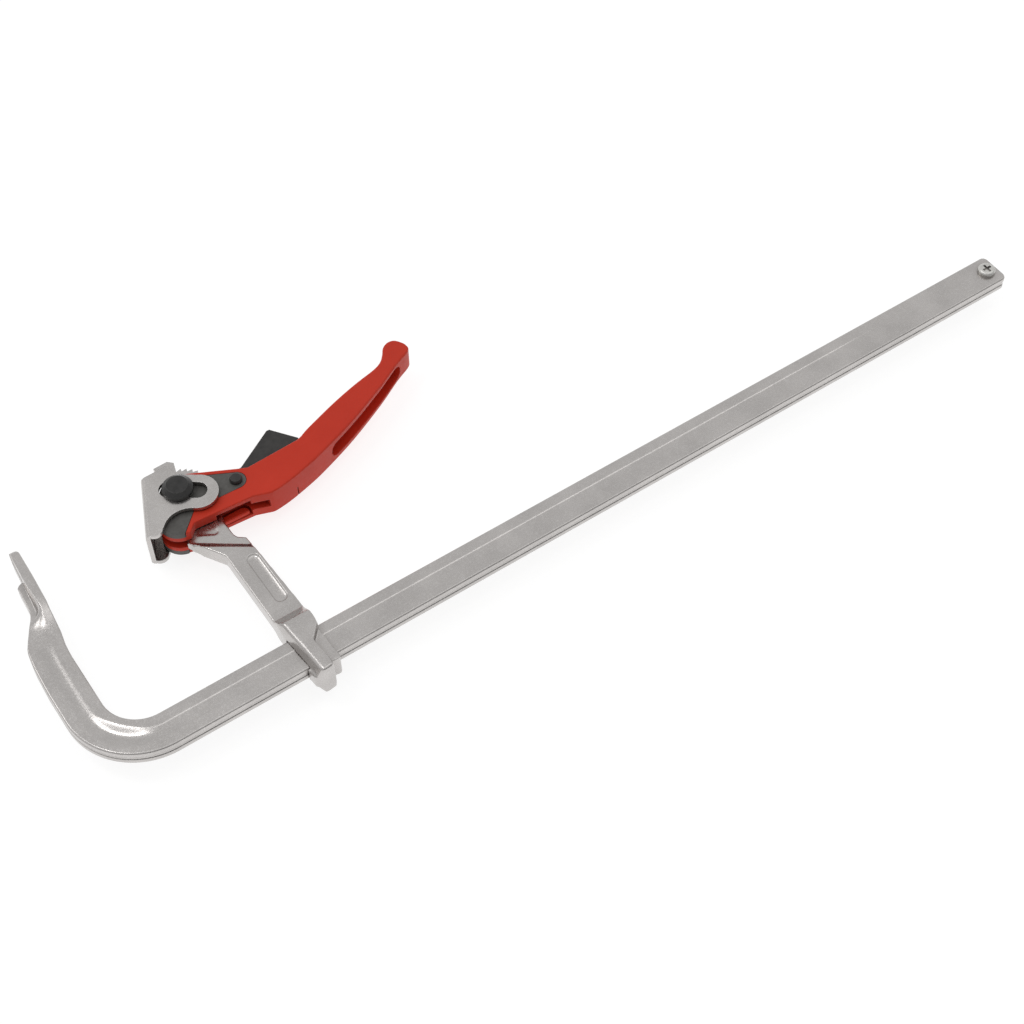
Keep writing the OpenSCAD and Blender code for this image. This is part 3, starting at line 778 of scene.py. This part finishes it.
LEVER_T = 20.8
LEVER_TIP_T = 17.0
TAPER_FROM = 96.0
TAPER_TO = 184.0
HALF_THICKNESS = [(TAPER_FROM, LEVER_T / 2), (TAPER_TO, LEVER_TIP_T / 2)]
EDGE_ROUND = [(30, 0.8), (62, 1.1), (95, 1.2)]
EDGE_STEPS = 6
MITRE_LEAST = 0.6
HUB = Vector((0.0, 0.0))
HUB_R = 11.0
HUB_END = 66.5
LOBE = Vector((-9.6, -17.2))
LOBE_R = 12.4
LOBE_START = 267
ARC_STEPS = 14
HEAD_TOP = [(6, 13.8), (14, 9.75), (22, 5.65), (30, 1.6), (40.4, -3.7), (45.5, -6)]
GRIP_TOP = [(58, -6.2), (81.4, -4.3), (92.5, 0.0), (117.1, 9.0), (137.0, 15.0), (153.7, 19.0),
            (160.9, 22.4), (165.3, 27.0)]
GRIP_TIP = [(169.0, 31.9), (173.8, 34.3), (178.3, 33.6), (181.3, 30.3), (183.2, 25.6), (181.4, 20.6)]
GRIP_UNDER = [(168, 14), (148, 2.9), (118, -11.4), (90, -22.2), (75, -26.8), (60, -30.4), (48, -31.7),
              (43, -30)]
GRIP_STEPS = 5
BELLY = [(48, -31.7), (45.6, -31), (43.5, -30.2), (40, -28.9), (36.5, -27.7), (25, -26.9), (13.5, -26.2),
         (5, -25.6), (-1.9, -25.15), (-3.6, -25.6), (-8.2, -30.2), (-9.8, -29.7)]

RIVET = Vector((34.3, -11.1))
RIVET_R = 3.2
PIN_R = 5.8
PIN_PLAY = 0.05
CIRCLE_STEPS = 64
PLATE_T = 3.8
PLATE_PLAY = 0.3
PLATE_HUB_R = 12.0
PLATE_END_R = 6.2
PLATE_END_START = -99
PLATE_HEEL = Vector((2.0, -16.2))
PLATE_TOE = Vector((-11.73, -29.41))
PLATE_HUB_STEPS = 20
PLATE_LOBE_STEPS = 16

LEVER_GAP = 6.4
SLOT = [(-60, -60), (45.5, -60), (46.5, -22), (60, -20), (92, -12.4), (92, 60), (-60, 60)]
MOUTH = [(11, -60), (11.5, -23), (14, -20), (33, -20), (35, -23), (35, -60)]
MOUTH_W = 14.0
HOLLOW_FROM = Vector((99.0, -20.2))
HOLLOW_TO = Vector((172.0, 15.6))
HOLLOW_W = 12.0
HOLLOW_DEPTH = 10.0
HOLLOW_OUTSIDE = -14.0
HOLLOW_STEPS = 12
TICK = [(66.6, -31.0), (67.3, -31.0), (67.5, -28.0), (66.8, -28.0)]
TICK_TOP = -2.0
THROUGH = 40.0

MOUTH_RIB = [(15.0, -26.2), (16.4, -21.6), (31.0, -21.4), (33.4, -23.6), (33.6, -26.8)]
MOUTH_RIB_LOW = -7.2
MOUTH_RIB_HIGH = -3.5
MOUTH_RIB_BEVEL = 0.9
MOUTH_RIB_STEPS = 4


def tangent(hub_r, other_r, other, side):
    """Angle at the hub of the point where its common tangent with another circle touches it."""
    a = math.degrees(math.atan2(other.y, other.x))
    return a + side * math.degrees(math.acos((hub_r - other_r) / other.length))


def lever_outline():
    """Lever outline, clockwise from the hub's flank."""
    flank = tangent(HUB_R, LOBE_R, LOBE, -1) % 360
    hub = arc(HUB, HUB_R, flank, HUB_END, ARC_STEPS)
    head = [Vector(p) for p in HEAD_TOP]
    grip = smooth_curve(GRIP_TOP + GRIP_TIP + GRIP_UNDER, GRIP_STEPS)
    belly = [Vector(p) for p in BELLY]
    lobe = arc(LOBE, LOBE_R, LOBE_START, flank, ARC_STEPS)
    return hub + head + grip + belly + lobe


def inward_steps(outline):
    """Per outline point, the step inward that moves both its sides in by 1."""
    area = sum(a.x * b.y - b.x * a.y for a, b in zip(outline, outline[1:] + outline[:1]))
    turn = 1 if area > 0 else -1
    steps = []
    for i, p in enumerate(outline):
        before = (p - outline[i - 1]).normalized()
        after = (outline[(i + 1) % len(outline)] - p).normalized()
        n = Vector((-(before.y + after.y), before.x + after.x)) * turn
        n.normalize()
        side = Vector((-after.y, after.x)) * turn
        steps.append(n / max(n.dot(side), MITRE_LEAST))
    return steps


def rounded_slab(name, outline):
    """Solid over an outline, with its two faces rounded off to the sides by a radius that varies along x."""
    inward = inward_steps(outline)
    angles = [math.radians(90 * k / EDGE_STEPS) for k in range(EDGE_STEPS + 1)]
    rings = []
    for sign, order in ((-1, reversed(angles)), (1, angles)):
        for a in order:
            ring = []
            for p, n in zip(outline, inward):
                r = ramp(p.x, EDGE_ROUND)
                q = p + n * r * (1 - math.cos(a))
                z = ramp(q.x, HALF_THICKNESS) - r * (1 - math.sin(a))
                ring.append(Vector((q.x + PIN.x, q.y + PIN.y, sign * z)))
            rings.append(ring)
    bm = bmesh.new()
    caps = loft(bm, rings)
    cap_edges = [e for f in caps for e in f.edges]
    cap_points = [v for f in caps for v in f.verts]
    bmesh.ops.bisect_plane(bm, geom=caps + cap_edges + cap_points,
                           plane_co=((TAPER_FROM + PIN.x) * MM, 0, 0), plane_no=(1, 0, 0))
    return mesh_object(name, bm)


def plate_outline(g):
    """Cam plate outline, grown by g."""
    flank = tangent(PLATE_HUB_R, LOBE_R, LOBE, -1) % 360
    crest = tangent(PLATE_HUB_R, PLATE_END_R, RIVET, 1)
    grow = Vector((g, -g)) / math.sqrt(2)
    toe = PLATE_TOE + grow - LOBE
    toe_angle = math.degrees(math.atan2(toe.y, toe.x)) % 360
    end = arc(RIVET, PLATE_END_R + g, PLATE_END_START, crest, ARC_STEPS)
    hub = arc(HUB, PLATE_HUB_R + g, crest, flank, PLATE_HUB_STEPS)
    lobe = arc(LOBE, LOBE_R + g, flank, toe_angle, PLATE_LOBE_STEPS)
    return end + hub + lobe + [PLATE_HEEL + grow]


def bore(name, centre, r):
    outline = arc(centre, r, 0, 360 - 360 / CIRCLE_STEPS, CIRCLE_STEPS - 1)
    return prism(name, outline, -THROUGH, THROUGH)


def hollow_cutter():
    """Pocket in the grip's underside with rounded ends, square to the underside's chord."""
    along = (HOLLOW_TO - HOLLOW_FROM).normalized()
    inward = Vector((-along.y, along.x))
    r = HOLLOW_W / 2
    first = HOLLOW_FROM + along * r
    length = (HOLLOW_TO - HOLLOW_FROM).length - 2 * r
    outline = arc((0, 0), r, 90, 270, HOLLOW_STEPS) + arc((length, 0), r, -90, 90, HOLLOW_STEPS)
    rings = []
    for depth in (HOLLOW_OUTSIDE, HOLLOW_DEPTH):
        ring = []
        for p in outline:
            q = PIN + first + along * p.x + inward * depth
            ring.append(Vector((q.x, q.y, p.y)))
        rings.append(ring)
    bm = bmesh.new()
    loft(bm, rings)
    return mesh_object("hollow", bm)


def make_lever():
    obj = rounded_slab("lever_casting", lever_outline())
    plate_in = LEVER_T / 2 - PLATE_T
    cutters = [prism("slot", SLOT, -LEVER_GAP / 2, LEVER_GAP / 2)]
    for low, high in ((plate_in, THROUGH), (-THROUGH, -plate_in)):
        cutters.append(prism("pocket", plate_outline(PLATE_PLAY), low, high))
    cutters.append(prism("mouth", MOUTH, -MOUTH_W / 2, MOUTH_W / 2))
    cutters.append(hollow_cutter())
    cutters.append(bore("pin_bore", HUB, PIN_R + PIN_PLAY))
    cutters.append(bore("rivet_bore", RIVET, RIVET_R))
    cutters.append(prism("tick", TICK, -THROUGH, TICK_TOP))
    combine(obj, cutters)
    weighted_normals(obj)
    dress(obj, RED)
    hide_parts("lever")
    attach(obj, "lever_body")


def make_mouth_rib():
    """Rounded rib on the inner side of the far wall, seen through the mouth."""
    obj = prism("mouth_rib", MOUTH_RIB, MOUTH_RIB_LOW, MOUTH_RIB_HIGH)
    bevel = obj.modifiers.new("bevel", "BEVEL")
    bevel.width = MOUTH_RIB_BEVEL * MM
    bevel.segments = MOUTH_RIB_STEPS
    bake_modifiers(obj)
    weighted_normals(obj)
    dress(obj, RED)
    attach(obj, "lever_body")


# Stage, light and camera

FLOOR_SIZE = 6.0
FLOOR_X = 0.3
FLOOR_GAP = 0.002
FLOOR_TONE = (0.30, 0.30, 0.30, 1)
FLOOR_GLOW = 0.63
FLOOR_SEEN_GLOW = 0.81
SKY_TONE = (1, 1, 1, 1)
SKY_TOWARDS = (0.0, 0.5, 0.866)
SKY_FROM = -0.5
SKY_TO = 0.6
SKY_DIM = 0.114
SKY_BRIGHT = 0.727

# Each light's name, place, target, sides and power
LIGHTS = (
    ("overhead", (-0.35, 0.32, 1.6), (0.0, -0.10, 0.0), (0.30, 0.30), 1.6),
    ("strip", (0.90, -0.12, 1.6), (0.90, -0.12, 0.0), (2.0, 0.3), 1.5),
    ("rear", (-0.75, 1.10, 1.6), (0.1, -0.05, 0.0), (0.7, 0.5), 2.35),
)

CAMERA_SENSOR = 36.0
CAMERA_LENS = 65.04
CAMERA_PLACE = (-0.1184, -0.6780, 0.9265)
CAMERA_FORWARD = (0.3360, 0.4899, -0.8044)
CAMERA_RIGHT = (0.8247, -0.5656, 0.0)


def floor_material():
    """Grey that takes the shadow, with a glow that brings the open floor to white where it is seen."""
    material = bpy.data.materials.new("floor_white")
    material.use_nodes = True
    tree = material.node_tree
    tree.nodes.clear()
    out = tree.nodes.new("ShaderNodeOutputMaterial")
    path = tree.nodes.new("ShaderNodeLightPath")
    seen = path.outputs["Is Camera Ray"]
    for ray in ("Is Glossy Ray", "Is Transmission Ray"):
        either = tree.nodes.new("ShaderNodeMath")
        either.operation = "MAXIMUM"
        tree.links.new(seen, either.inputs[0])
        tree.links.new(path.outputs[ray], either.inputs[1])
        seen = either.outputs[0]
    strength = tree.nodes.new("ShaderNodeMapRange")
    strength.inputs["To Min"].default_value = FLOOR_GLOW
    strength.inputs["To Max"].default_value = FLOOR_SEEN_GLOW
    tree.links.new(seen, strength.inputs["Value"])
    glow = tree.nodes.new("ShaderNodeEmission")
    tree.links.new(strength.outputs["Result"], glow.inputs["Strength"])
    matt = tree.nodes.new("ShaderNodeBsdfDiffuse")
    matt.inputs["Color"].default_value = FLOOR_TONE
    both = tree.nodes.new("ShaderNodeAddShader")
    tree.links.new(glow.outputs[0], both.inputs[0])
    tree.links.new(matt.outputs[0], both.inputs[1])
    tree.links.new(both.outputs[0], out.inputs[0])
    return material


def make_floor():
    bm = bmesh.new()
    bmesh.ops.create_grid(bm, x_segments=1, y_segments=1, size=FLOOR_SIZE)
    bmesh.ops.translate(bm, verts=bm.verts, vec=(FLOOR_X, 0, bounds_before[0][2] - FLOOR_GAP))
    floor = mesh_object("floor", bm)
    dress(floor, floor_material())


def make_sky():
    """White surroundings, brightest above and behind the object."""
    world = bpy.data.worlds.new("studio")
    bpy.context.scene.world = world
    world.use_nodes = True
    tree = world.node_tree
    coord = tree.nodes.new("ShaderNodeTexCoord")
    towards = tree.nodes.new("ShaderNodeVectorMath")
    towards.operation = "DOT_PRODUCT"
    towards.inputs[1].default_value = SKY_TOWARDS
    strength = tree.nodes.new("ShaderNodeMapRange")
    strength.interpolation_type = "SMOOTHSTEP"
    strength.inputs["From Min"].default_value = SKY_FROM
    strength.inputs["From Max"].default_value = SKY_TO
    strength.inputs["To Min"].default_value = SKY_DIM
    strength.inputs["To Max"].default_value = SKY_BRIGHT
    tree.links.new(coord.outputs["Generated"], towards.inputs[0])
    tree.links.new(towards.outputs["Value"], strength.inputs["Value"])
    background = tree.nodes["Background"]
    background.inputs["Color"].default_value = SKY_TONE
    tree.links.new(strength.outputs["Result"], background.inputs["Strength"])


def aimed(place, forward, right):
    """World matrix of a light or camera looking along forward."""
    up = right.cross(forward).normalized()
    turn = Matrix((right, up, -forward)).transposed()
    return Matrix.Translation(place) @ turn.to_4x4()


def area_light(name, place, target, size, power):
    """Soft rectangular light aimed at a target, with its first side square to y."""
    data = bpy.data.lights.new(name, "AREA")
    data.shape = "RECTANGLE"
    data.size, data.size_y = size
    data.energy = power
    forward = (Vector(target) - Vector(place)).normalized()
    right = forward.cross((0, 1, 0)).normalized()
    new_object(name, data).matrix_world = aimed(place, forward, right)


def make_camera():
    data = bpy.data.cameras.new("camera")
    data.sensor_width = CAMERA_SENSOR
    data.lens = CAMERA_LENS
    camera = new_object("camera", data)
    forward = Vector(CAMERA_FORWARD).normalized()
    right = Vector(CAMERA_RIGHT).normalized()
    camera.matrix_world = aimed(CAMERA_PLACE, forward, right)
    bpy.context.scene.camera = camera


make_rail()
make_arm()
make_lever()
make_mouth_rib()
for node, material in NODE_MATERIALS.items():
    dress(nodes[node], material)
make_floor()
make_sky()
for light in LIGHTS:
    area_light(*light)
make_camera()
bpy.context.scene.view_settings.view_transform = "Standard"
